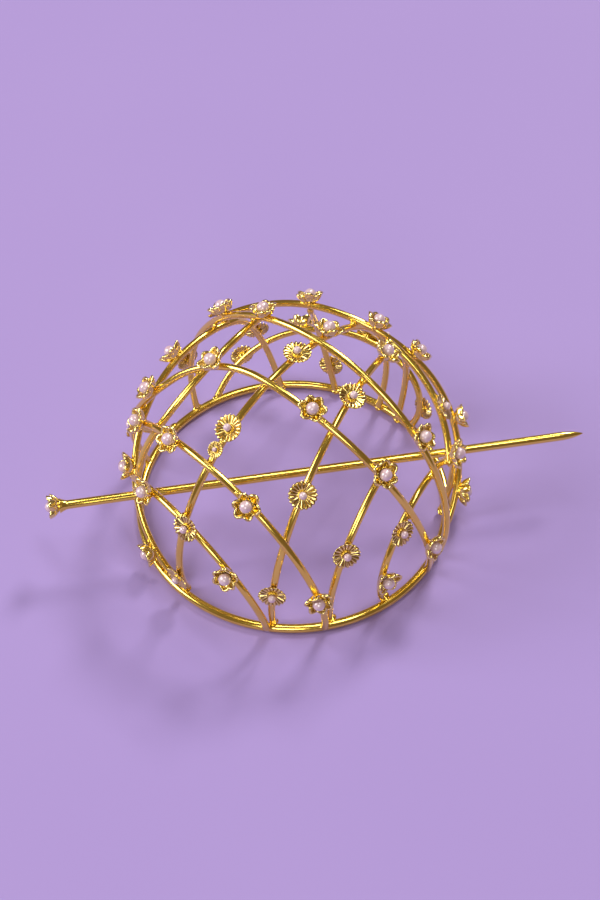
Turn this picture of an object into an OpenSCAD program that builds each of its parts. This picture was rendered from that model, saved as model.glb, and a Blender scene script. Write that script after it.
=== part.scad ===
// Bun cover: a domed wire cage with pearl flowers, and the hair stick that pins it.
// Millimetres. The origin is the middle of the ring's underside, +Z up, and the
// stick runs along X with its flower at -X.

/* [Ring] */
// Diameter of the ring, across the middle of its wire
ring_d = 78; // [77:0.5:79]
// Thickness of the ring's wire
ring_wire = 2.2; // [2:0.1:2.4]
// Depth filed off the ring's underside, so that it stands flat
ring_flat = 0.05; // [0.03:0.01:0.1]

/* [Lattice] */
// Radius of the dome, between its outer and its inner wires
dome_r = 40.4; // [40.2:0.1:40.8]
// Height of the dome's centre above the ring's underside
dome_z = 13.2; // [13:0.1:13.4]
// Thickness of the lattice wires
wire = 1.75; // [1.6:0.05:1.8]
// Space left between pieces that solder or glue joins on the real one
gap = 0.05; // [0.04:0.01:0.08]

/* [Flowers] */
// Number of petals on a pearl flower
petals = 6; // [5:1:6]
// Width of a pearl flower
petal_flower_d = 7.2; // [6.8:0.1:7.4]
// Diameter of its pearl
pearl_d = 2.9; // [2.7:0.1:3.1]
// Width of a daisy
daisy_d = 6.4; // [6.2:0.1:6.8]
// Diameter of its bead
bead_d = 1.8; // [1.7:0.1:2]
// Thickness of the flowers' metal
leaf_t = 0.5; // [0.45:0.05:0.6]
// Diameter of the stalk of solder under a flower
stalk_d = 2.2; // [2:0.1:2.4]
// Size of the smallest daisy, beside the others
small_daisy = 0.6; // [0.5:0.1:0.7]

/* [Hair stick] */
// Thickness of the stick
stick_d = 2.2; // [2:0.1:2.2]
// Distance from the ring's middle to the stick's point
stick_tip = 72.3; // [66:0.5:76]
// Distance from the ring's middle to the back of the stick's flower
stick_head = 57.6; // [56:0.2:62]
// How far the stick lies in front of the ring's middle
stick_front = 5.65; // [5.6:0.05:5.7]
// Height of the stick's middle
stick_z = 18.5; // [18.45:0.05:18.6]
// Length of the taper at its point
point_l = 6; // [4:0.5:10]

/* [Hidden] */

gold = "goldenrod";
pearl_pink = "mistyrose";

// The path of each lattice wire, by azimuth and elevation on the dome in degrees.
// An azimuth alone is a foot on the ring. The outer wires cross over the inner ones,
// and no two wires of one layer meet.
WIRES = [
  // [wire, its points]
  ["outer_wire_1", [[-109], [-141, 24], [-173, 16]]],
  ["outer_wire_2", [[-89], [-91, 2], [-133, 44], [153]]],
  ["outer_wire_3", [[-44], [-61, 43], [-144, 77], [165, 47], [134]]],
  ["outer_wire_4", [[-36], [-29, 57], [112, 55], [121]]],
  ["outer_wire_5", [[-27, 21], [-10, 33], [14, 48], [22, 51]]],
  ["outer_wire_6", [[-22], [-5, 6], [12, 36], [62, 56], [113, 43]]],
  ["outer_wire_7", [[112], [80, 9], [38, 9], [28]]],
  ["inner_wire_1", [[-64], [-41, 26], [-17]]],
  ["inner_wire_2", [[-86], [-78, 26], [-54, 42]]],
  ["inner_wire_3", [[-107], [-91, 49], [10, 55], [33]]],
  ["inner_wire_4", [[-143], [-142, 20], [-39, 90], [40, 67], [43]]],
  ["inner_wire_5", [[98, 56], [162, 60], [-178, 32], [-174, 12]]],
  ["inner_wire_6", [[-151], [166, 22], [125, 38], [100, 27], [85]]],
  ["inner_wire_7", [[62], [70, 14], [72, 40]]]
];

// The flowers, each at a distance in millimetres along its wire from the wire's first
// point. A raised one stands clear of an outer wire that passes beside its stalk.
FLOWERS = [
  // [wire, distance, kind, raised]
  ["outer_wire_1", 24, "petals", false],
  ["outer_wire_1", 38, "daisy", false],
  ["outer_wire_1", 52, "petals", false],
  ["outer_wire_2", 17, "petals", false],
  ["outer_wire_2", 46, "petals", false],
  ["outer_wire_2", 70, "petals", false],
  ["outer_wire_2", 85, "petals", false],
  ["outer_wire_3", 18, "petals", false],
  ["outer_wire_3", 44, "petals", false],
  ["outer_wire_3", 65, "petals", false],
  ["outer_wire_3", 92, "petals", false],
  ["outer_wire_3", 112, "petals", false],
  ["outer_wire_3", 138, "daisy", false],
  ["outer_wire_4", 42, "petals", false],
  ["outer_wire_4", 91, "petals", false],
  ["outer_wire_4", 106, "petals", true],
  ["outer_wire_4", 135, "daisy", false],
  ["outer_wire_5", 3, "petals", false],
  ["outer_wire_5", 14, "daisy", false],
  ["outer_wire_6", 9, "petals", false],
  ["outer_wire_6", 28, "petals", false],
  ["outer_wire_6", 48, "petals", false],
  ["outer_wire_6", 60, "petals", false],
  ["outer_wire_6", 77, "petals", false],
  ["outer_wire_7", 14, "daisy", false],
  ["outer_wire_7", 32, "petals", false],
  ["outer_wire_7", 50, "daisy", false],
  ["outer_wire_7", 76, "daisy", false],
  ["inner_wire_1", 15, "petals", false],
  ["inner_wire_1", 27.5, "daisy", false],
  ["inner_wire_2", 27, "daisy", false],
  ["inner_wire_3", 16, "daisy", false],
  ["inner_wire_3", 43, "daisy", false],
  ["inner_wire_3", 68, "daisy", false],
  ["inner_wire_3", 86, "petals", false],
  ["inner_wire_3", 116, "petals", false],
  ["inner_wire_4", 8, "daisy", false],
  ["inner_wire_4", 47, "small_daisy", false],
  ["inner_wire_4", 52.5, "daisy", false],
  ["inner_wire_4", 76, "daisy", false],
  ["inner_wire_4", 87, "petals", false],
  ["inner_wire_4", 120, "daisy", false],
  ["inner_wire_6", 8, "petals", false],
  ["inner_wire_6", 29, "petals", false],
  ["inner_wire_6", 58, "petals", false],
  ["inner_wire_6", 74, "daisy", true],
  ["inner_wire_6", 94, "daisy", false],
  ["inner_wire_7", 8, "daisy", false]
];

ring_z = ring_wire / 2 - ring_flat;
dome_c = [0, 0, dome_z];
layer_step = (wire + gap) / 2;
joint_d = wire + 1.6 * gap;
outer_top = dome_r + layer_step + wire / 2;
leaf_sink = 0.3;

// A flower's parts, measured up from the underside of its leaves
bed_lift = 0.02;
pearl_z = leaf_t + bed_lift + gap + pearl_d / 2;
cup_d = pearl_d - 0.2;
cup_h = leaf_t + 0.65;
bead_z = leaf_t + bed_lift + gap + bead_d / 2;
bead_cup_d = bead_d + 0.2;
bead_cup_h = bead_z - 0.5;
daisy_lift = 0.5;
daisy_flat_d = bead_cup_d + 0.4;
petal_d = 0.38 * petal_flower_d;
petal_mid = (petal_flower_d - petal_d) / 2;
petal_heart_d = 0.58 * petal_flower_d;

collar_l = 2;
collar_d = 3.8;
point_d = 0.5;

function unit(v) = v / norm(v);
function is_outer(name) = name[0] == "o";
function layer_r(name) = is_outer(name) ? dome_r + layer_step : dome_r - layer_step;
function foot_elevation(r) = -asin((dome_z - ring_z) / r);
function on_dome(az, el, r) = dome_c + r * [cos(az) * cos(el), sin(az) * cos(el), sin(el)];
function path_points(path, r) =
  [for (k = path) on_dome(k[0], len(k) > 1 ? k[1] : foot_elevation(r), r)];

// An arc on the dome is [centre, normal, direction of its start, radius, sweep]
function arc_in_plane(n, p, q) = let(
    o = dome_c + n * (n * (p - dome_c)),
    r = norm(p - o),
    u = (p - o) / r,
    a = atan2((q - o) * cross(n, u), (q - o) * u)
  ) [o, n, u, r, a < 0 ? a + 360 : a];
function arc_side(arc, a) = cos(a) * arc[2] + sin(a) * cross(arc[1], arc[2]);
function arc_point(arc, a) = arc[0] + arc[3] * arc_side(arc, a);
function arc_heading(arc, a) = cross(arc[1], arc_side(arc, a));
function arc_length(arc) = arc[3] * arc[4] * PI / 180;

// The first arc passes the first three points, and each later one runs on smoothly
function first_arc(p) = arc_in_plane(unit(cross(p[1] - p[0], p[2] - p[0])), p[0], p[2]);
function next_arc(arc, p, q) =
  arc_in_plane(unit(cross(arc_heading(arc, arc[4]), q - p)), p, q);
function arcs_on(p, i, arc) =
  i >= len(p) ? [] :
  let(b = next_arc(arc, p[i - 1], p[i])) concat([b], arcs_on(p, i + 1, b));
function path_arcs(p) = let(a = first_arc(p)) concat([a], arcs_on(p, 3, a));
function wire_arcs(name) = let(
    path = [for (w = WIRES) if (w[0] == name) w[1]][0]
  ) path_arcs(path_points(path, layer_r(name)));

// The place and heading at a distance along a wire
function along(arcs, mm, i = 0) =
  mm <= arc_length(arcs[i]) || i == len(arcs) - 1
    ? let(a = mm / arcs[i][3] * 180 / PI) [arc_point(arcs[i], a), arc_heading(arcs[i], a)]
    : along(arcs, mm - arc_length(arcs[i]), i + 1);

// Height of a flower's leaves above the middle of its wire
function leaf_z(f) = f[3] ? outer_top + gap - layer_r(f[0]) : wire / 2 - leaf_sink;

// Draws its children with their axes along x, y and z, at p
module placed(x, y, z, p) {
  multmatrix([
    [x[0], y[0], z[0], p[0]],
    [x[1], y[1], z[1], p[1]],
    [x[2], y[2], z[2], p[2]],
    [0, 0, 0, 1]
  ]) children();
}

module on_wire(f) {
  spot = along(wire_arcs(f[0]), f[1]);
  out = unit(spot[0] - dome_c);
  placed(spot[1], cross(out, spot[1]), out, spot[0]) children();
}

module ring_tube(d) {
  translate([0, 0, ring_z])
    rotate_extrude($fn = 180) translate([ring_d / 2, 0]) circle(d = d, $fn = 32);
}

module arc_tube(arc) {
  placed(arc[2], cross(arc[1], arc[2]), arc[1], arc[0])
    rotate_extrude(angle = arc[4], $fn = 180) translate([arc[3], 0]) circle(d = wire, $fn = 24);
}

// A little ball where one arc runs on into the next, its poles across the wire
module arc_joints(arcs) {
  if (len(arcs) > 1)
    for (i = [1 : len(arcs) - 1])
      placed(arcs[i][2], arc_heading(arcs[i], 0), arcs[i][1], arc_point(arcs[i], 0))
        sphere(d = joint_d, $fn = 24);
}

module petal_leaves() {
  difference() {
    union() {
      linear_extrude(leaf_t) {
        circle(d = petal_heart_d, $fn = 32);
        for (i = [0 : petals - 1])
          rotate(i * 360 / petals) translate([petal_mid, 0]) circle(d = petal_d, $fn = 24);
      }
      cylinder(d = cup_d, h = cup_h, $fn = 32);
    }
    translate([0, 0, pearl_z]) sphere(d = pearl_d + 2 * gap, $fn = 48);
  }
}

module daisy_leaves() {
  difference() {
    union() {
      rotate_extrude($fn = 48) polygon([
        [0, 0], [daisy_flat_d / 2, 0], [daisy_d / 2, daisy_lift],
        [daisy_d / 2, daisy_lift + leaf_t / 2], [daisy_flat_d / 2, leaf_t], [0, leaf_t]
      ]);
      cylinder(d = bead_cup_d, h = bead_cup_h, $fn = 24);
    }
    translate([0, 0, bead_z]) sphere(d = bead_d + 2 * gap, $fn = 32);
  }
}

module leaves(kind) {
  if (kind == "petals") petal_leaves();
  if (kind == "daisy") daisy_leaves();
  if (kind == "small_daisy") scale(small_daisy) daisy_leaves();
}

module flower(f) {
  on_wire(f) {
    cylinder(d = stalk_d, h = leaf_z(f) + leaf_t / 2, $fn = 24);
    translate([0, 0, leaf_z(f)]) leaves(f[2]);
  }
}

module lattice_wire(name) {
  color(gold) difference() {
    union() {
      for (arc = wire_arcs(name)) arc_tube(arc);
      arc_joints(wire_arcs(name));
      for (f = FLOWERS) if (f[0] == name) flower(f);
    }
    ring_tube(ring_wire + 2 * gap);
  }
}

module rim_ring() {
  color(gold) difference() {
    ring_tube(ring_wire);
    translate([0, 0, -ring_wire]) cylinder(d = ring_d + 4 * ring_wire, h = ring_wire, $fn = 180);
  }
}

module flower_pearls() {
  color(pearl_pink)
    for (f = FLOWERS) if (f[2] == "petals")
      on_wire(f) translate([0, 0, leaf_z(f) + pearl_z]) sphere(d = pearl_d, $fn = 48);
}

module daisy_beads() {
  color(pearl_pink)
    for (f = FLOWERS) if (f[2] != "petals")
      on_wire(f) translate([0, 0, leaf_z(f)])
        scale(f[2] == "daisy" ? 1 : small_daisy)
          translate([0, 0, bead_z]) sphere(d = bead_d, $fn = 32);
}

// The stick's own frame has +Z from its point to its flower
module on_stick() {
  translate([0, -stick_front, stick_z]) rotate([0, -90, 0]) children();
}

module hair_stick() {
  color(gold) on_stick() {
    rotate_extrude($fn = 48) polygon([
      [0, -stick_tip], [point_d / 2, -stick_tip + point_d / 3],
      [stick_d / 2, -stick_tip + point_l], [stick_d / 2, stick_head - collar_l],
      [collar_d / 2, stick_head], [collar_d / 2, stick_head + leaf_t / 2],
      [0, stick_head + leaf_t / 2]
    ]);
    translate([0, 0, stick_head]) petal_leaves();
  }
}

module stick_pearl() {
  color(pearl_pink)
    on_stick() translate([0, 0, stick_head + pearl_z]) sphere(d = pearl_d, $fn = 48);
}

rim_ring();
for (w = WIRES) lattice_wire(w[0]);
flower_pearls();
daisy_beads();
hair_stick();
stick_pearl();
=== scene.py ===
# Bun cover: a domed wire cage with pearl flowers, and the hair stick that pins it.
# Metres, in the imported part's frame: +Z up, the stick along X with its flower at -X.
import math
import random

import bpy
import numpy as np
from mathutils import Matrix, Vector


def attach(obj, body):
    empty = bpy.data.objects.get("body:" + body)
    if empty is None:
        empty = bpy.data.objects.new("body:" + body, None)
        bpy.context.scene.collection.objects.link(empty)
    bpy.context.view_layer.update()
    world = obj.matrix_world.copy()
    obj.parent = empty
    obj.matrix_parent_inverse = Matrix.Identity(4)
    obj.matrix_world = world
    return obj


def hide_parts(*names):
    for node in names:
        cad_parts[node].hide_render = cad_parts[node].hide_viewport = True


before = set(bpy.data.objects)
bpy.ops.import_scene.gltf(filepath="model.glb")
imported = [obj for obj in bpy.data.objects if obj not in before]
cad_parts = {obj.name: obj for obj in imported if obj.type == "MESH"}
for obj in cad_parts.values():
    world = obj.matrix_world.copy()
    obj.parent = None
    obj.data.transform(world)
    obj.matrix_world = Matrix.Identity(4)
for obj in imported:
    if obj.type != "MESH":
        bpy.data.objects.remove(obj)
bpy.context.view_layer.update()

mm = 0.001

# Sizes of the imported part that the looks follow
cage = {
    "domeRadius": 40.4 * mm,      # between the outer and the inner wires
    "domeHeight": 13.2 * mm,      # of the dome's middle
    "wire": 1.75 * mm,
    "gap": 0.05 * mm,             # between parts that are soldered or glued
    "ringDiameter": 78 * mm,
    "ringWire": 2.2 * mm,
    "ringFlat": 0.05 * mm,        # filed off underneath
    "leafThickness": 0.5 * mm,
    "leafSink": 0.3 * mm,         # of a flower's leaves into the top of its wire
}
domeMiddle = Vector((0, 0, cage["domeHeight"]))
ringWireRadius = cage["ringWire"] / 2
ringHeight = ringWireRadius - cage["ringFlat"]
layerStep = (cage["wire"] + cage["gap"]) / 2
domeTop = cage["domeRadius"] + layerStep + cage["wire"] / 2
up = Vector((0, 0, 1))

# Azimuth and elevation of each wire's points on the dome, in degrees. An azimuth
# alone is a foot on the ring.
wirePaths = {
    "outer_wire_1": [[-109], [-141, 24], [-173, 16]],
    "outer_wire_2": [[-89], [-91, 2], [-133, 44], [153]],
    "outer_wire_3": [[-44], [-61, 43], [-144, 77], [165, 47], [134]],
    "outer_wire_4": [[-36], [-29, 57], [112, 55], [121]],
    "outer_wire_5": [[-27, 21], [-10, 33], [14, 48], [22, 51]],
    "outer_wire_6": [[-22], [-5, 6], [12, 36], [62, 56], [113, 43]],
    "outer_wire_7": [[112], [80, 9], [38, 9], [28]],
    "inner_wire_1": [[-64], [-41, 26], [-17]],
    "inner_wire_2": [[-86], [-78, 26], [-54, 42]],
    "inner_wire_3": [[-107], [-91, 49], [10, 55], [33]],
    "inner_wire_4": [[-143], [-142, 20], [-39, 90], [40, 67], [43]],
    "inner_wire_5": [[98, 56], [162, 60], [-178, 32], [-174, 12]],
    "inner_wire_6": [[-151], [166, 22], [125, 38], [100, 27], [85]],
    "inner_wire_7": [[62], [70, 14], [72, 40]],
}

# The flowers on each wire, by distance along it in millimetres. A raised one stands
# clear of an outer wire that passes beside its stalk.
wireFlowers = {
    "outer_wire_1": [(24, "petals"), (38, "daisy"), (52, "petals")],
    "outer_wire_2": [(17, "petals"), (46, "petals"), (70, "petals"), (85, "petals")],
    "outer_wire_3": [(18, "petals"), (44, "petals"), (65, "petals"), (92, "petals"),
                     (112, "petals"), (138, "daisy")],
    "outer_wire_4": [(42, "petals"), (91, "petals"), (106, "raised petals"), (135, "daisy")],
    "outer_wire_5": [(3, "petals"), (14, "daisy")],
    "outer_wire_6": [(9, "petals"), (28, "petals"), (48, "petals"), (60, "petals"),
                     (77, "petals")],
    "outer_wire_7": [(14, "daisy"), (32, "petals"), (50, "daisy"), (76, "daisy")],
    "inner_wire_1": [(15, "petals"), (27.5, "daisy")],
    "inner_wire_2": [(27, "daisy")],
    "inner_wire_3": [(16, "daisy"), (43, "daisy"), (68, "daisy"), (86, "petals"),
                     (116, "petals")],
    "inner_wire_4": [(8, "daisy"), (47, "small daisy"), (52.5, "daisy"), (76, "daisy"),
                     (87, "petals"), (120, "daisy")],
    "inner_wire_5": [],
    "inner_wire_6": [(8, "petals"), (29, "petals"), (58, "petals"), (74, "raised daisy"),
                     (94, "daisy")],
    "inner_wire_7": [(8, "daisy")],
}


# The routes of the wires over the dome
class Arc:
    def __init__(self, normal, start, end):
        self.normal = normal
        self.middle = domeMiddle + normal * normal.dot(start - domeMiddle)
        self.radius = (start - self.middle).length
        self.side = (start - self.middle) / self.radius
        reach = end - self.middle
        turn = math.atan2(reach.dot(normal.cross(self.side)), reach.dot(self.side))
        self.length = self.radius * (turn % (2 * math.pi))

    def at(self, run):            # the place and the heading at a distance along the arc
        angle = run / self.radius
        side = self.side * math.cos(angle) + self.normal.cross(self.side) * math.sin(angle)
        return self.middle + side * self.radius, self.normal.cross(side)


def layerRadius(name):
    return cage["domeRadius"] + (layerStep if name.startswith("outer") else -layerStep)


def onDome(radius, azimuth, elevation=None):
    turn = math.radians(azimuth)
    rise = math.radians(elevation or 0)
    if elevation is None:         # down to the middle of the ring's wire
        rise = -math.asin((cage["domeHeight"] - ringHeight) / radius)
    level = math.cos(rise)
    side = Vector((math.cos(turn) * level, math.sin(turn) * level, math.sin(rise)))
    return domeMiddle + radius * side


def routeOf(name):                # one arc through three points, and smooth ones from there on
    knots = [onDome(layerRadius(name), *point) for point in wirePaths[name]]
    normal = (knots[1] - knots[0]).cross(knots[2] - knots[0]).normalized()
    arcs = [Arc(normal, knots[0], knots[2])]
    for last, knot in zip(knots[2:], knots[3:]):
        heading = arcs[-1].at(arcs[-1].length)[1]
        arcs.append(Arc(heading.cross(knot - last).normalized(), last, knot))
    return arcs


def spotOn(arcs, run):
    for arc in arcs[:-1]:
        if run <= arc.length:
            return arc.at(run)
        run -= arc.length
    return arcs[-1].at(run)


routes = {name: routeOf(name) for name in wirePaths}
print("routes of", len(routes), "wires found")


# Nodes: sums of sockets, and one way to add any other node
class Reading:
    def __init__(self, bench, socket):
        self.bench = bench
        self.socket = socket

    def other(self, output):      # another output of the same node
        return Reading(self.bench, self.bench.find(self.socket.node.outputs, output))

    def work(self, operation, first, second):
        return self.bench.add("ShaderNodeMath", {"operation": operation}, {0: first, 1: second})

    def __add__(self, value):
        return self.work("ADD", self, value)

    def __radd__(self, value):
        return self.work("ADD", value, self)

    def __sub__(self, value):
        return self.work("SUBTRACT", self, value)

    def __rsub__(self, value):
        return self.work("SUBTRACT", value, self)

    def __mul__(self, value):
        return self.work("MULTIPLY", self, value)

    def __rmul__(self, value):
        return self.work("MULTIPLY", value, self)

    def __truediv__(self, value):
        return self.work("DIVIDE", self, value)


class Bench:
    def __init__(self, tree):
        self.tree = tree

    def find(self, sockets, key):
        if isinstance(key, int):
            return sockets[key]
        named = [socket for socket in sockets if socket.identifier == key]
        return named[0] if named else sockets[key]

    def add(self, kind, settings=None, values=None, output=0):
        node = self.tree.nodes.new(kind)
        for setting, value in (settings or {}).items():
            setattr(node, setting, value)
        for key, value in (values or {}).items():
            socket = self.find(node.inputs, key)
            for one in value if isinstance(value, list) else [value]:
                if isinstance(one, Reading):
                    self.tree.links.new(one.socket, socket)
                else:
                    socket.default_value = one
        return Reading(self, self.find(node.outputs, output)) if node.outputs else None

    def attribute(self, name, kind):
        return self.add("GeometryNodeInputNamedAttribute", {"data_type": kind}, {"Name": name})

    def scaled(self, vector, factor):
        values = {0: vector, "Scale": factor}
        return self.add("ShaderNodeVectorMath", {"operation": "SCALE"}, values)

    def chance(self, low, high, seed):
        values = {"Min_001": low, "Max_001": high, "Seed": seed}
        return self.add("FunctionNodeRandomValue", {"data_type": "FLOAT"}, values, "Value_001")

    def turned(self, rotation, axis, angle):
        turn = self.add("FunctionNodeAxisAngleToRotation", {}, {"Axis": axis, "Angle": angle})
        values = {"Rotation": rotation, "Rotate By": turn}
        return self.add("FunctionNodeRotateRotation", {"rotation_space": "LOCAL"}, values)

    def facing(self):             # the rotation that a flower or a drop of solder sits at
        axes = {"Primary Axis": self.attribute("outward", "FLOAT_VECTOR"),
                "Secondary Axis": self.attribute("along", "FLOAT_VECTOR")}
        settings = {"primary_axis": "Z", "secondary_axis": "X"}
        return self.add("FunctionNodeAxesToRotation", settings, axes)

    def uneven(self, given, spin):    # its rotation, and its size against the others
        spin = spin + self.chance(0 - given("Turn"), given("Turn"), given("Seed"))
        lean = self.chance(0 - given("Lean"), given("Lean"), given("Seed") + 1)
        rotation = self.turned(self.turned(self.facing(), (0, 0, 1), spin), (0, 1, 0), lean)
        spread = given("Unevenness")
        return rotation, self.chance(1 - spread, 1 + spread, given("Seed") + 2)

    def noise(self, place, scale, detail):
        values = {"Vector": place, "Scale": scale, "Detail": detail}
        return self.add("ShaderNodeTexNoise", {}, values)

    def mix(self, factor, first, second):
        values = {"Factor_Float": factor, "A_Color": first, "B_Color": second}
        return self.add("ShaderNodeMix", {"data_type": "RGBA"}, values, "Result_Color")


# Trees of Geometry Nodes
def newTree(name, inputs):
    tree = bpy.data.node_groups.new(name, "GeometryNodeTree")
    tree.interface.new_socket("Geometry", in_out="INPUT", socket_type="NodeSocketGeometry")
    for label, kind in inputs.items():
        tree.interface.new_socket(label, in_out="INPUT", socket_type="NodeSocket" + kind)
    tree.interface.new_socket("Geometry", in_out="OUTPUT", socket_type="NodeSocketGeometry")
    bench = Bench(tree)
    return bench, bench.add("NodeGroupInput").other


def closeTree(bench, shape, material):
    shape = bench.add("GeometryNodeSetShadeSmooth", {}, {"Geometry": shape})
    shape = bench.add("GeometryNodeRealizeInstances", {}, {"Geometry": shape})
    shape = bench.add("GeometryNodeSetMaterial", {}, {"Geometry": shape, "Material": material})
    bench.add("NodeGroupOutput", {}, {"Geometry": shape})
    return bench.tree


def wireTree():                   # a round wire along the edges, its thickness scaled by "girth"
    bench, given = newTree("drawnWire", {
        "Thickness": "Float", "Sides": "Int", "Material": "Material"})
    curve = bench.add("GeometryNodeMeshToCurve", {}, {"Mesh": given("Geometry")})
    profile = bench.add("GeometryNodeCurvePrimitiveCircle", {},
                        {"Resolution": given("Sides"), "Radius": given("Thickness") / 2})
    wire = bench.add("GeometryNodeCurveToMesh", {}, {
        "Curve": curve, "Profile Curve": profile,
        "Scale": bench.attribute("girth", "FLOAT"), "Fill Caps": True})
    return closeTree(bench, wire, given("Material"))


def seatTree():                   # one shape on each point, sized by "size"
    bench, given = newTree("seatedPiece", {
        "Shape": "Object", "Lift": "Float", "Turn": "Float", "Lean": "Float",
        "Unevenness": "Float", "Seed": "Int", "Material": "Material"})
    lift = bench.scaled(bench.attribute("outward", "FLOAT_VECTOR"), given("Lift"))
    points = bench.add("GeometryNodeSetPosition", {},
                       {"Geometry": given("Geometry"), "Offset": lift})
    rotation, swell = bench.uneven(given, 0)
    shape = bench.add("GeometryNodeObjectInfo", {}, {"Object": given("Shape")}, "Geometry")
    pieces = bench.add("GeometryNodeInstanceOnPoints", {}, {
        "Points": points, "Instance": shape, "Rotation": rotation,
        "Scale": bench.scaled(bench.attribute("size", "FLOAT_VECTOR"), swell)})
    return closeTree(bench, pieces, given("Material"))


def ringTree():                   # a ring of shapes round each point, of two kinds by chance
    bench, given = newTree("ringOfPieces", {
        "Shape": "Object", "Other Shape": "Object", "Count": "Int", "Turn": "Float",
        "Lean": "Float", "Unevenness": "Float", "Seed": "Int", "Material": "Material"})
    points = bench.add("GeometryNodeDuplicateElements", {"domain": "POINT"},
                       {"Geometry": given("Geometry"), "Amount": given("Count")})
    step = points.other("Duplicate Index") / given("Count") * (2 * math.pi)
    rotation, swell = bench.uneven(given, step + bench.attribute("turn", "FLOAT"))
    shapes = [bench.add("GeometryNodeObjectInfo", {}, {"Object": given(label)}, "Geometry")
              for label in ("Shape", "Other Shape")]
    kinds = [bench.add("GeometryNodeGeometryToInstance", {}, {0: shape}) for shape in shapes]
    both = bench.add("GeometryNodeJoinGeometry", {}, {0: kinds})
    pick = bench.chance(0, 1.99, given("Seed") + 3)       # rounded down, to 0 or 1
    pieces = bench.add("GeometryNodeInstanceOnPoints", {}, {
        "Points": points, "Instance": both, "Pick Instance": True, "Instance Index": pick,
        "Rotation": rotation, "Scale": swell})
    return closeTree(bench, pieces, given("Material"))


def newObject(name, vertices, edges=(), faces=()):
    mesh = bpy.data.meshes.new(name)
    mesh.from_pydata(vertices, edges, faces)
    made = bpy.data.objects.new(name, mesh)
    bpy.context.scene.collection.objects.link(made)
    return made


def giveAttribute(thing, name, kind, values):
    field = thing.data.attributes.new(name, kind, "POINT")
    key = "vector" if kind == "FLOAT_VECTOR" else "value"
    field.data.foreach_set(key, np.ravel(values).tolist())


guides = ("outward", "along", "size", "turn", "girth", "id")      # only the trees read these


def grow(thing, tree, values):    # runs a tree on an object, and keeps the result as its plain mesh
    modifier = thing.modifiers.new(tree.name, "NODES")
    modifier.node_group = tree
    for item in tree.interface.items_tree:
        if item.in_out == "INPUT" and item.name in values:
            modifier[item.identifier] = values[item.name]
    view = bpy.context.evaluated_depsgraph_get()
    mesh = bpy.data.meshes.new_from_object(thing.evaluated_get(view))
    thing.modifiers.clear()
    thing.data = mesh
    for name in guides:
        if name in mesh.attributes:
            mesh.attributes.remove(mesh.attributes[name])


def place(thing, body, slot, *nodes):
    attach(thing, body)
    if nodes:
        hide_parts(*nodes)
    print(thing.name, len(thing.data.polygons), "faces on", body)


# Finishes
goldLook = {
    "pale": (0.98, 0.75, 0.15, 1),
    "deep": (0.94, 0.64, 0.07, 1),
    # painted light: the flowers' leaves get a paler copy of the gold, lifting the shade in their
    # cupped hollows
    "litLeafPale": (1.0, 0.85, 0.34, 1),
    "litLeafDeep": (0.98, 0.76, 0.20, 1),
    "solder": (0.95, 0.66, 0.12, 1),
    # painted shade: a dark colour laid into the daisies' flute grooves
    "groove": (0.42, 0.22, 0.03, 1),
    "grooveShadeShare": 0.9,           # share of the painted groove shade at a groove's bottom
    "cloudScale": 160,            # colour and polish change over some millimetres
    "grainScale": 2400,           # fine marks of the polishing wheel
    "roughness": 0.1,
    "cloudRoughness": 0.08,
    "grainRoughness": 0.04,
    "solderRoughness": 0.08,
    "grainShare": 0.4,            # of the bump, and the clouds have the rest
    "bump": 0.05 * mm,
    "bumpStrength": 0.35,
    "coat": 0.8,
    "coatRoughness": 0.12,
}
solderLook = {
    "cloudScale": 420,
    "roughness": 0.14,
    "cloudRoughness": 0.12,
    "bump": 0.15 * mm,
    "bumpStrength": 0.5,
}
pearlLook = {
    "cream": (0.79, 0.65, 0.65, 1),
    "blush": (0.66, 0.40, 0.48, 1),
    "cloudScale": 330,
    "skinScale": 3200,
    "roughness": 0.26,
    "skinRoughness": 0.06,
    "bump": 0.02 * mm,
    "bumpStrength": 0.3,
    "ior": 2.2,
    "coat": 1.0,
    "coatRoughness": 0.05,
}


def newMaterial(name):
    material = bpy.data.materials.new(name)
    material.use_nodes = True
    material.node_tree.nodes.clear()
    bench = Bench(material.node_tree)
    return material, bench, bench.add("ShaderNodeTexCoord", {}, {}, "Object")


def closeMaterial(bench, values):
    shader = bench.add("ShaderNodeBsdfPrincipled", {}, values)
    bench.add("ShaderNodeOutputMaterial", {}, {"Surface": shader})


def bumped(bench, height, look):
    values = {"Height": height, "Distance": look["bump"], "Strength": look["bumpStrength"]}
    return bench.add("ShaderNodeBump", {}, values)


def closeMetal(bench, colour, roughness, normal):
    closeMaterial(bench, {
        "Base Color": colour,
        "Metallic": 1.0,
        "Roughness": roughness,
        "Coat Weight": goldLook["coat"],
        "Coat Roughness": goldLook["coatRoughness"],
        "Normal": normal,
    })


def goldFinish(name, pale, deep):
    material, bench, where = newMaterial(name)
    solder = bench.add("ShaderNodeAttribute", {"attribute_name": "solder"}, {}, "Fac")
    groove = bench.add("ShaderNodeAttribute", {"attribute_name": "groove"}, {}, "Fac")
    cloud = bench.noise(where, goldLook["cloudScale"], 3)
    grain = bench.noise(where, goldLook["grainScale"], 2)
    plate = bench.mix(cloud, goldLook[pale], goldLook[deep])
    # painted shade: darkens the daisies' flute grooves by their groove attribute
    plate = bench.mix(groove * goldLook["grooveShadeShare"], plate, goldLook["groove"])
    roughness = (goldLook["roughness"] + cloud * goldLook["cloudRoughness"]
                 + grain * goldLook["grainRoughness"] + solder * goldLook["solderRoughness"])
    height = grain * goldLook["grainShare"] + cloud * (1 - goldLook["grainShare"])
    closeMetal(bench, bench.mix(solder, plate, goldLook["solder"]), roughness,
               bumped(bench, height, goldLook))
    return material


def solderFinish():
    material, bench, where = newMaterial("hardSolder")
    cloud = bench.noise(where, solderLook["cloudScale"], 3)
    closeMetal(bench, bench.mix(cloud, goldLook["deep"], goldLook["solder"]),
               solderLook["roughness"] + cloud * solderLook["cloudRoughness"],
               bumped(bench, cloud, solderLook))
    return material


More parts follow.
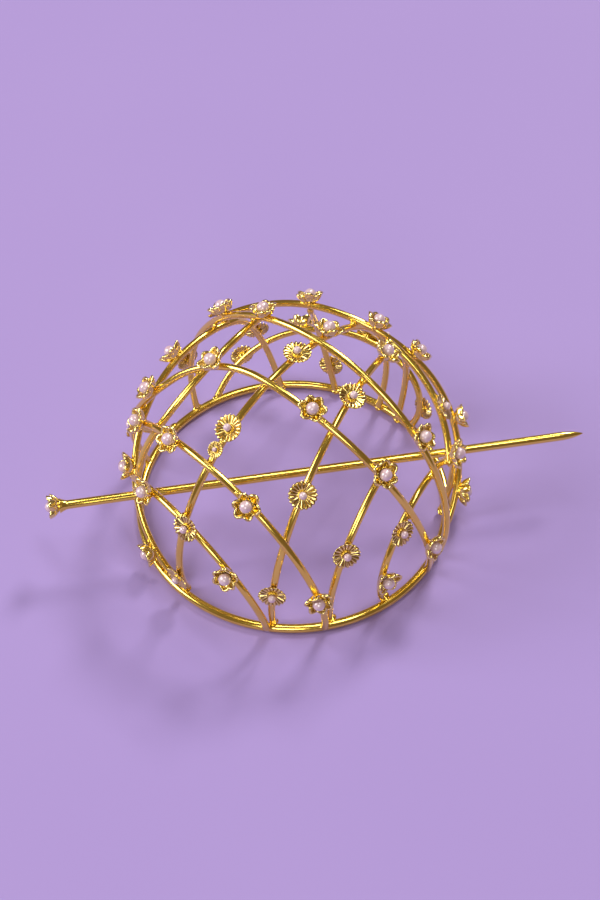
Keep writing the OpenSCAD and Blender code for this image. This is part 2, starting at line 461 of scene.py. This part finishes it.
def pearlFinish():
    material, bench, where = newMaterial("pearl")
    cloud = bench.noise(where, pearlLook["cloudScale"], 2)
    skin = bench.noise(where, pearlLook["skinScale"], 2)
    closeMaterial(bench, {
        "Base Color": bench.mix(cloud, pearlLook["cream"], pearlLook["blush"]),
        "Roughness": pearlLook["roughness"] + skin * pearlLook["skinRoughness"],
        "IOR": pearlLook["ior"],
        "Coat Weight": pearlLook["coat"],
        "Coat Roughness": pearlLook["coatRoughness"],
        "Normal": bumped(bench, skin, pearlLook),
    })
    return material


gold = goldFinish("polishedGoldPlate", "pale", "deep")
# painted light: the paler copy of the gold, for the leaves of the petal flowers and daisies
litLeafGold = goldFinish("litLeafGoldPlate", "litLeafPale", "litLeafDeep")
solderGold = solderFinish()
nacre = pearlFinish()
print("finishes made")


# Shapes that the flowers are made of, each with its foot at the origin and +Z outward
def closedFaces(loops, segments):
    # over loops of points that lie between a first point and a last one
    faces = [(0, 1 + j, 1 + (j + 1) % segments) for j in range(segments)]
    for k in range(loops - 1):
        start = 1 + k * segments
        after = start + segments
        for j in range(segments):
            beside = (j + 1) % segments
            faces.append((start + j, after + j, after + beside, start + beside))
    start = 1 + (loops - 1) * segments
    faces += [(start + (j + 1) % segments, start + j, start + segments) for j in range(segments)]
    return faces


def thinDisc(name, surface, look):
    # a sheet over surface(r, angle), closed round its edge
    step = 0.001                  # for the sheet's slope
    half = look["thickness"] / 2
    rim = look.get("rim", 0)

    def sides(r, angle):          # a point of the sheet, and the way from there to its top
        point = surface(r, angle)
        outer = surface(r + step, angle) - point
        beside = surface(r, angle + step) - point
        swell = 1 + rim * r ** 6  # only near the edge
        return point, outer.cross(beside).normalized() * half * swell

    middle = surface(0, 0)        # tilted as the sheet round it is
    tilts = [sides(0.1, k * math.pi / 2)[1] for k in range(4)]
    tilt = sum(tilts, Vector()).normalized() * half
    rings, segments = look["rings"], look["segments"]
    angles = [2 * math.pi * j / segments for j in range(segments)]
    rows = [[sides(k / rings, angle) for angle in angles] for k in range(1, rings + 1)]
    edge = [surface(1 + half / (surface(1, a) - middle).length, a) for a in angles]
    vertices = [middle + tilt] + [p + n for row in rows for p, n in row] + edge
    vertices += [p - n for row in reversed(rows) for p, n in row] + [middle - tilt]
    return newObject(name, vertices, faces=closedFaces(2 * rings + 1, segments))


def turned(name, profile, segments, spot=Matrix()):
    # a turned shape from (radius, height) rows, closed to a point at both ends
    angles = [2 * math.pi * j / segments for j in range(segments)]
    points = [(0, 0, profile[0][1])]
    for radius, height in profile[1:-1]:
        points += [(radius * math.cos(a), radius * math.sin(a), height) for a in angles]
    points.append((0, 0, profile[-1][1]))
    faces = [(face[0],) + face[:0:-1] for face in closedFaces(len(profile) - 2, segments)]
    return newObject(name, [spot @ Vector(point) for point in points], faces=faces)


def ball(name, look):
    rings, radius, dent = look["rings"], look["radius"], look.get("dent", 0)
    angles = [math.pi * k / rings for k in range(rings + 1)]
    profile = [(radius * math.sin(angle), -radius * math.cos(angle)) for angle in angles]
    made = turned(name, profile, look["segments"])
    for vertex in made.data.vertices:     # a dented one is slightly uneven
        x, y, z = vertex.co / radius
        vertex.co *= 1 + dent * math.sin(3 * x + 2 * y) * math.cos(4 * z + x)
    return made


petal = {
    "count": 6,
    "root": 0.7 * mm,             # from the flower's middle
    "length": 3.6 * mm,
    "halfWidth": 1.06 * mm,
    "widening": 0.42,             # of its outer end over its root
    "foot": 0.25 * mm,            # height of its root
    "lowTilt": 2,                 # degrees, at the root and at the tip
    "highTilt": 80,
    "cup": 0.85 * mm,             # how far its long edges turn up
    "rootCup": 0.4,               # share of that at the root
    "thickness": 0.34 * mm,
    "rim": 0.8,                   # how much thicker its edge is
    "point": 0.1,                 # how pointed the second kind is
    "longer": 0.1,                # and how much longer, for each unit of that
    "rings": 6,
    "segments": 24,
    "turn": 0.06,                 # radians by chance, as the lean
    "lean": 0.14,
    "unevenness": 0.05,
    "seed": 11,
}


def petalShape(name, point):
    low = math.radians(petal["lowTilt"])
    bend = (math.radians(petal["highTilt"]) - low) / petal["length"]
    rootCup = petal["rootCup"]

    def surface(r, angle):
        along = r * math.cos(angle)
        outer = max(0, along)
        run = petal["length"] / 2 * (1 + along * (1 + petal["longer"] * point * outer))
        wide = 1 + petal["widening"] * along
        across = petal["halfWidth"] * r * math.sin(angle) * wide * (1 - point * outer ** 2)
        tilt = low + bend * run
        x = petal["root"] + (math.sin(tilt) - math.sin(low)) / bend
        z = petal["foot"] + (math.cos(low) - math.cos(tilt)) / bend
        cup = petal["cup"] * (across / petal["halfWidth"]) ** 2
        rise = cup * (rootCup + (1 - rootCup) * run / petal["length"])
        return Vector((x - math.sin(tilt) * rise, across, z + math.cos(tilt) * rise))

    return thinDisc(name, surface, petal)


daisy = {
    "radius": 3.2 * mm,
    "flutes": 19,
    "depth": 0.5 * mm,            # of a flute at the edge
    "deepening": 2.2,             # how soon a flute is that deep
    "fluteMiddle": 0.6,           # share of the depth that lies under the sheet
    "notch": 0.07,                # of the scalloped edge
    "dish": 0.35 * mm,            # how far the edge stands above the middle
    "flat": 0.3,                  # share of the radius that is flat
    "height": 0.4 * mm,
    "thickness": 0.22 * mm,
    "grooveShading": 4,               # how soon a groove has its full painted shade
    "smallScale": 0.6,            # of the small daisy
    "rings": 7,
    "segments": 114,              # six for each flute
    "turn": 3.1,
    "lean": 0.05,
}


def fluteRidge(angle):            # 1 on a ridge and 0 in a groove
    return abs(math.cos(daisy["flutes"] * angle / 2))


def daisyShape(name):
    def surface(r, angle):
        ridge = fluteRidge(angle)
        radius = daisy["radius"] * r * (1 - daisy["notch"] * (1 - ridge) * min(1, r) ** 2)
        slope = max(0, r - daisy["flat"]) / (1 - daisy["flat"])
        deep = daisy["depth"] * min(1, daisy["deepening"] * slope)
        z = daisy["height"] + daisy["dish"] * slope + deep * (ridge - daisy["fluteMiddle"])
        return Vector((radius * math.cos(angle), radius * math.sin(angle), z))

    made = thinDisc(name, surface, daisy)
    # the painted shade of each flute groove, darkest at its bottom and faded in from the flat
    # middle
    grooveShades = []
    for vertex in made.data.vertices:
        ridge = fluteRidge(math.atan2(vertex.co.y, vertex.co.x))
        slope = vertex.co.xy.length / daisy["radius"] - daisy["flat"]
        grooveShades.append((1 - ridge) * min(1, max(0, daisy["grooveShading"] * slope)))
    giveAttribute(made, "groove", "FLOAT", grooveShades)
    return made


pearl = {"radius": 1.45 * mm, "segments": 40, "rings": 24}
bead = {"radius": 0.9 * mm, "segments": 28, "rings": 16}
bedLift = 0.02 * mm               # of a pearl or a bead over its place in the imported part
pearlHeight = cage["leafThickness"] + bedLift + cage["gap"] + pearl["radius"]
beadHeight = cage["leafThickness"] + bedLift + cage["gap"] + bead["radius"]

granule = {
    "count": 12,
    "radius": 0.24 * mm,
    "spot": (1.6, 0, 1.1),        # millimetres, beside the pearl
    "segments": 10,
    "rings": 7,
    "turn": 0.06,
    "lean": 0.02,
    "unevenness": 0.03,
    "seed": 23,
}
drop = {"radius": 1 * mm, "segments": 20, "rings": 12, "dent": 0.08}

# Turned parts of a flower: their sides, and radius and height in millimetres from the
# leaves' underside
turnedParts = {
    "pearlCup": (28, [(0, 0.1), (1.1, 0.1), (1.42, 0.45), (1.5, 0.85), (1.44, 1.0), (1.3, 1.0),
                      (1.2, 0.85), (0, 0.6)]),
    "beadCup": (22, [(0, 0.15), (0.95, 0.15), (1.1, 0.4), (1.1, 0.8), (1.02, 0.92),
                     (0.9, 0.86), (0.82, 0.68), (0, 0.5)]),
    "stalk": (18, [(0, -1), (1.1, -1), (1.0, -0.6), (1.1, -0.1), (1.4, 0.15), (0, 0.3)]),
}

shapes = {
    "petal": petalShape("petal", 0),
    "pointedPetal": petalShape("pointedPetal", petal["point"]),
    "daisy": daisyShape("daisy"),
    "pearl": ball("pearl", pearl),
    "bead": ball("bead", bead),
    "granule": ball("granule", granule),
    "drop": ball("drop", drop),
}
for vertex in shapes["granule"].data.vertices:
    vertex.co += Vector(granule["spot"]) * mm
for name, (segments, rows) in turnedParts.items():
    shapes[name] = turned(name, [(r * mm, z * mm) for r, z in rows], segments)
trees = {"wire": wireTree(), "seat": seatTree(), "ring": ringTree()}
print("shapes and trees made")


# The wires, with a flare at each foot and solder where they are joined
wireLook = {
    "step": 0.7 * mm,
    "sides": 18,
    "footGirth": 0.9,             # inside the ring, where a foot ends
    "flare": 0.16,                # at the ring's surface
    "flareReach": 0.6 * mm,
    "endRound": 0.5 * mm,         # rounding of an end that has no foot
    "endGirth": 0.2,
    "footSolder": 1.6 * mm,
    "flowerSolder": 3.8 * mm,
    "underFlower": 2 * mm,        # full solder this far from a flower's middle
    "crossSolder": 1.6 * mm,
    "solderFade": 0.7,
    "crossing": 1.95 * mm,        # two wires closer than this are soldered together
}
ringLook = {
    "steps": 360,
    "sides": 24,
    "underFoot": 0.8 * mm,
}


def hasFoot(name, end):           # the end is 0 or -1
    return len(wirePaths[name][end]) == 1


wireRuns, wireSpots = {}, {}      # distances along each wire, with their places and headings
for name, route in routes.items():
    length = sum(arc.length for arc in route)
    count = round(length / wireLook["step"])
    wireRuns[name] = [length * i / count for i in range(count + 1)]
    wireSpots[name] = [spotOn(route, run) for run in wireRuns[name]]
feet = [wireSpots[name][end][0] for name in wirePaths for end in (0, -1) if hasFoot(name, end)]


def findCrossings():
    found = []
    for over in [name for name in wirePaths if name.startswith("outer")]:
        for under in [name for name in wirePaths if name.startswith("inner")]:
            top = np.array([spot for spot, heading in wireSpots[over]])
            low = np.array([spot for spot, heading in wireSpots[under]])
            gaps = np.linalg.norm(top[:, None] - low[None], axis=2)
            near = gaps.min(axis=1)
            for i in range(1, len(near) - 1):
                if near[i] < wireLook["crossing"] and near[i - 1] >= near[i] < near[i + 1]:
                    found.append((over, i, under, int(gaps[i].argmin())))
    return found


crossings = findCrossings()
print(len(crossings), "crossings and", len(feet), "feet found")


def nearness(distance, reach):    # 1 up to a join, and 0 at its solder's reach
    return max(0.0, 1 - max(0.0, distance) / reach) ** wireLook["solderFade"]


def girthAt(distance, isFoot):
    if not isFoot:
        inside = 1 - min(1, distance / wireLook["endRound"])
        return math.sqrt(1 - inside ** 2 * (1 - wireLook["endGirth"] ** 2))
    if distance < ringWireRadius:
        swell = 1 + wireLook["flare"] - wireLook["footGirth"]
        return wireLook["footGirth"] + swell * distance / ringWireRadius
    outside = (distance - ringWireRadius) / wireLook["flareReach"]
    return 1 + wireLook["flare"] * math.exp(-outside)


def drawWire(name):
    runs, spots = wireRuns[name], wireSpots[name]
    joins = [spots[i][0] for over, i, under, j in crossings if over == name]
    joins += [spots[j][0] for over, i, under, j in crossings if under == name]
    flowerFade = wireLook["flowerSolder"] - wireLook["underFlower"]
    girths, solders = [], []
    for run, (spot, heading) in zip(runs, spots):
        ends = [(run, hasFoot(name, 0)), (runs[-1] - run, hasFoot(name, -1))]
        girths.append(girthAt(*ends[0]) * girthAt(*ends[1]))
        solder = [nearness(distance - ringWireRadius, wireLook["footSolder"])
                  for distance, isFoot in ends if isFoot]
        solder += [nearness(abs(run - at * mm) - wireLook["underFlower"], flowerFade)
                   for at, kind in wireFlowers[name]]
        solder += [nearness((spot - join).length, wireLook["crossSolder"]) for join in joins]
        solders.append(max(solder))
    edges = [(i, i + 1) for i in range(len(runs) - 1)]
    wire = newObject(name + "_drawn", [spot for spot, heading in spots], edges)
    giveAttribute(wire, "girth", "FLOAT", girths)
    giveAttribute(wire, "solder", "FLOAT", solders)
    grow(wire, trees["wire"], {
        "Thickness": cage["wire"], "Sides": wireLook["sides"], "Material": gold})
    place(wire, "cage", "gold_metal", name)


def drawRing():
    count, radius = ringLook["steps"], cage["ringDiameter"] / 2
    angles = [2 * math.pi * i / count for i in range(count)]
    spots = [Vector((radius * math.cos(a), radius * math.sin(a), ringHeight)) for a in angles]
    away = [min((spot - foot).length for foot in feet) for spot in spots]
    solders = [nearness(gap - ringLook["underFoot"], wireLook["footSolder"]) for gap in away]
    ring = newObject("soldered_ring", spots, [(i, (i + 1) % count) for i in range(count)])
    giveAttribute(ring, "girth", "FLOAT", [1.0] * count)
    giveAttribute(ring, "solder", "FLOAT", solders)
    grow(ring, trees["wire"], {
        "Thickness": cage["ringWire"], "Sides": ringLook["sides"], "Material": gold})
    for vertex in ring.data.vertices:     # filed flat underneath
        vertex.co.z = max(0, vertex.co.z)
    place(ring, "cage", "gold_metal", "rim_ring")


for name in wirePaths:
    drawWire(name)
drawRing()


# The flowers
class Spot:
    def __init__(self, point, outward, along, kind="petals", rise=0):
        self.point = point        # the underside of the leaves
        self.outward = outward
        self.along = along
        self.isDaisy = kind.endswith("daisy")
        self.scale = daisy["smallScale"] if kind == "small daisy" else 1.0
        self.rise = rise          # of the leaves above the middle of the wire

    def raised(self, lift):
        made = Spot(self.point + self.outward * lift, self.outward, self.along)
        made.scale = self.scale
        return made


def flowerSpots():
    found = []
    for name, flowers in wireFlowers.items():
        for distance, kind in flowers:
            middle, heading = spotOn(routes[name], distance * mm)
            outward = (middle - domeMiddle).normalized()
            rise = cage["wire"] / 2 - cage["leafSink"]
            if kind.startswith("raised"):
                rise = domeTop + cage["gap"] - layerRadius(name)
            found.append(Spot(middle + outward * rise, outward, heading, kind, rise))
    return found


def pointsOf(name, spots, sizes=None):
    dice = random.Random(len(name) + len(spots))
    points = newObject(name, [spot.point for spot in spots])
    sizes = sizes or [(spot.scale,) * 3 for spot in spots]
    giveAttribute(points, "outward", "FLOAT_VECTOR", [spot.outward for spot in spots])
    giveAttribute(points, "along", "FLOAT_VECTOR", [spot.along for spot in spots])
    giveAttribute(points, "size", "FLOAT_VECTOR", sizes)
    giveAttribute(points, "turn", "FLOAT", [dice.uniform(0, 2 * math.pi) for spot in spots])
    return points


def chances(look):                # what a tree varies by chance
    return {"Turn": look.get("turn", 0.0), "Lean": look.get("lean", 0.0),
            "Unevenness": look.get("unevenness", 0.0), "Seed": look.get("seed", 3)}


def seat(name, spots, shape, material, body, nodes=(), look=None, lift=0.0, sizes=None):
    made = pointsOf(name, spots, sizes)
    grow(made, trees["seat"], {
        "Shape": shapes[shape], "Lift": lift, "Material": material, **chances(look or {})})
    place(made, body, "pearl" if material == nacre else "gold_metal", *nodes)


def ringOf(name, spots, shape, otherShape, body, look):
    made = pointsOf(name, spots)
    grow(made, trees["ring"], {
        "Shape": shapes[shape], "Other Shape": shapes[otherShape], "Count": look["count"],
        "Material": litLeafGold, **chances(look)})
    place(made, body, "gold_metal")


def pearlFlowers(prefix, spots, body):
    ringOf(prefix + "_petals", spots, "petal", "pointedPetal", body, petal)
    ringOf(prefix + "_granules", spots, "granule", "granule", body, granule)
    seat(prefix + "_pearl_cups", spots, "pearlCup", solderGold, body)


flowers = flowerSpots()
pearled = [spot for spot in flowers if not spot.isDaisy]
daisies = [spot for spot in flowers if spot.isDaisy]
pearlFlowers("flower", pearled, "cage")
seat("flower_pearls_polished", pearled, "pearl", nacre, "cage", ["flower_pearls"],
     lift=pearlHeight)
seat("daisy_leaves", daisies, "daisy", litLeafGold, "cage", look=daisy)
seat("daisy_bead_cups", daisies, "beadCup", solderGold, "cage")
beadSpots = [spot.raised(beadHeight * spot.scale) for spot in daisies]
seat("daisy_beads_polished", beadSpots, "bead", nacre, "cage", ["daisy_beads"])
seat("flower_stalks", flowers, "stalk", solderGold, "cage",
     sizes=[(1, 1, spot.rise / mm) for spot in flowers])


# Drops of solder: where two wires cross, round the feet, and beside some of the flowers
dropLook = {
    "crossing": (1.15, 0.8, 0.62),    # times the drop, along its wire, across and outward
    "foot": (1.3, 0.86, 0.6),
    "beside": (0.72, 0.62, 0.56),
    "footLift": 0.8 * mm,
    "besideLift": 0.35 * mm,
    "besideReach": (3.1, 3.7),    # millimetres from a flower's middle
    "besideShare": 0.35,          # of the places beside the flowers that have one
    "besideSeed": 5,
    "endClear": 1.5 * mm,
    "turn": 0.3,
    "lean": 0.15,
    "unevenness": 0.14,
}


def crossingDrops():
    found = []
    for over, i, under, j in crossings:
        top, heading = wireSpots[over][i]
        low, otherHeading = wireSpots[under][j]
        if heading.dot(otherHeading) < 0:
            otherHeading = -otherHeading
        outward = (top + low - 2 * domeMiddle).normalized()
        found.append(Spot((top + low) / 2, outward, (heading + otherHeading).normalized()))
    return found


def footDrops():
    radials = [Vector((foot.x, foot.y, 0)).normalized() for foot in feet]
    return [Spot(foot + up * dropLook["footLift"], up, radial.cross(up))
            for foot, radial in zip(feet, radials)]


def flowerDrops():
    found = []
    dice = random.Random(dropLook["besideSeed"])
    for name, blooms in wireFlowers.items():
        last = wireRuns[name][-1] - dropLook["endClear"]
        for distance, kind in blooms:
            for side in (-1, 1):
                chosen = dice.random() < dropLook["besideShare"]
                run = (distance + side * dice.uniform(*dropLook["besideReach"])) * mm
                if chosen and dropLook["endClear"] < run < last and kind != "small daisy":
                    spot, heading = spotOn(routes[name], run)
                    outward = (spot - domeMiddle).normalized()
                    found.append(Spot(spot + outward * dropLook["besideLift"], outward, heading))
    return found


drops = {"crossing": crossingDrops(), "foot": footDrops(), "beside": flowerDrops()}
dropSizes = [dropLook[kind] for kind, found in drops.items() for spot in found]
seat("solder_drops", [spot for found in drops.values() for spot in found], "drop", solderGold,
     "cage", look=dropLook, sizes=dropSizes)


# The hair stick
stick = {
    "radius": 1.1 * mm,
    "sides": 32,
    "height": 18.5 * mm,          # of its axis
    "front": 5.65 * mm,           # how far its axis passes in front of the ring's middle
    "tip": 72.3 * mm,             # from there to its point
    "head": 57.6 * mm,            # and to its flower's leaves
    "taper": 6 * mm,              # length of its point
    "taperRows": 10,
    "taperBend": 1.6,             # how much closer these rows stand at the point
    "taperRound": 0.72,
    "shaftRows": 26,
    "collar": 2 * mm,             # length of its collar
    "collarRadius": 1.9 * mm,
    "collarRows": 6,
    "collarBend": 1.5,
}


def stickProfile():               # radius and height, from its point to its head
    start = stick["taper"] - stick["tip"]
    end = stick["head"] - stick["collar"]
    profile = [(0, -stick["tip"])]
    for k in range(1, stick["taperRows"] + 1):
        part = (k / stick["taperRows"]) ** stick["taperBend"]
        width = math.sin(math.pi / 2 * part) ** stick["taperRound"]
        profile.append((stick["radius"] * width, stick["taper"] * part - stick["tip"]))
    for k in range(1, stick["shaftRows"] + 1):
        profile.append((stick["radius"], start + (end - start) * k / stick["shaftRows"]))
    for k in range(1, stick["collarRows"] + 1):
        part = k / stick["collarRows"]
        wider = (stick["collarRadius"] - stick["radius"]) * part ** stick["collarBend"]
        profile.append((stick["radius"] + wider, end + stick["collar"] * part))
    profile.append((0, stick["head"] + cage["leafThickness"] / 2))
    return profile


def hairStick():
    lying = Matrix.Rotation(-math.pi / 2, 4, "Y")
    axis = Matrix.Translation((0, -stick["front"], stick["height"])) @ lying
    shaft = turned("hair_stick_shaft", stickProfile(), stick["sides"], axis)
    shaft.data.shade_smooth()
    shaft.data.materials.append(gold)
    place(shaft, "stick", "gold_metal", "hair_stick")
    head = Spot(axis @ Vector((0, 0, stick["head"])), Vector((-1, 0, 0)), up)
    pearlFlowers("stick_flower", [head], "stick")
    seat("stick_pearl_polished", [head], "pearl", nacre, "stick", ["stick_pearl"],
         lift=pearlHeight)


hairStick()
for shape in shapes.values():
    bpy.data.objects.remove(shape)
print("bun cover made")


# The floor, the light and the camera
floorLook = {
    "size": 12.0,
    "colour": (0.39, 0.285, 0.61, 1),
    "shade": (0.355, 0.255, 0.58, 1),
    "cloudScale": 6,
    "roughness": 0.75,
}
roomLight = {"colour": (0.70, 0.50, 0.42, 1), "strength": 0.24}
lampAim = Vector((0, 0, 20 * mm))
lamps = {
    # name: place, width, depth, power in watts and colour
    "keyLamp": ((1.80, 2.16, 3.12), 0.84, 0.84, 79, (1, 0.98, 0.94)),
    "sideLamp": ((-2.88, 0.36, 1.80), 1.80, 1.80, 79, (1, 1, 1)),
    "frontLamp": ((-0.96, -3.00, 2.28), 1.44, 1.44, 36, (0.98, 0.98, 1)),
    "stripLamp": ((0.48, 0.24, 3.30), 2.40, 0.48, 31, (1, 1, 1)),
}
# Fitted to the photograph: the ring's middle is seen from this far, and this far off centre
cameraFit = {
    "elevation": 50.82,
    "turn": -10,
    "distance": 357.84 * mm,
    "right": 1.708 * mm,
    "up": 12.248 * mm,
    "lens": 56,
    "clipStart": 10 * mm,
}


def makeFloor():
    half = floorLook["size"] / 2
    corners = [(-half, -half, 0), (half, -half, 0), (half, half, 0), (-half, half, 0)]
    floor = newObject("floor", corners, faces=[(0, 1, 2, 3)])
    material, bench, where = newMaterial("paleFloor")
    cloud = bench.noise(where, floorLook["cloudScale"], 2)
    closeMaterial(bench, {
        "Base Color": bench.mix(cloud, floorLook["colour"], floorLook["shade"]),
        "Roughness": floorLook["roughness"],
    })
    floor.data.materials.append(material)


def makeLamp(name, spot, width, depth, power, colour):
    lamp = bpy.data.lights.new(name, "AREA")
    lamp.shape = "RECTANGLE"
    lamp.size = width
    lamp.size_y = depth
    lamp.energy = power
    lamp.color = colour
    made = bpy.data.objects.new(name, lamp)
    bpy.context.scene.collection.objects.link(made)
    made.location = spot
    made.rotation_euler = (lampAim - Vector(spot)).to_track_quat("-Z", "Y").to_euler()


def makeRoom():
    for name, settings in lamps.items():
        makeLamp(name, *settings)
    world = bpy.data.worlds.new("studio")
    world.use_nodes = True
    background = world.node_tree.nodes["Background"]
    background.inputs["Color"].default_value = roomLight["colour"]
    background.inputs["Strength"].default_value = roomLight["strength"]
    bpy.context.scene.world = world
    bpy.context.scene.view_settings.view_transform = "Standard"


def makeCamera():
    data = bpy.data.cameras.new("camera")
    data.lens = cameraFit["lens"]
    data.clip_start = cameraFit["clipStart"]
    made = bpy.data.objects.new("camera", data)
    bpy.context.scene.collection.objects.link(made)
    tilt = math.radians(90 - cameraFit["elevation"])
    made.rotation_euler = (tilt, 0, math.radians(cameraFit["turn"]))
    offset = Vector((cameraFit["right"], cameraFit["up"], cameraFit["distance"]))
    made.location = made.rotation_euler.to_matrix() @ offset + up * ringHeight
    bpy.context.scene.camera = made


makeFloor()
makeRoom()
makeCamera()
print("floor, lamps and camera made")
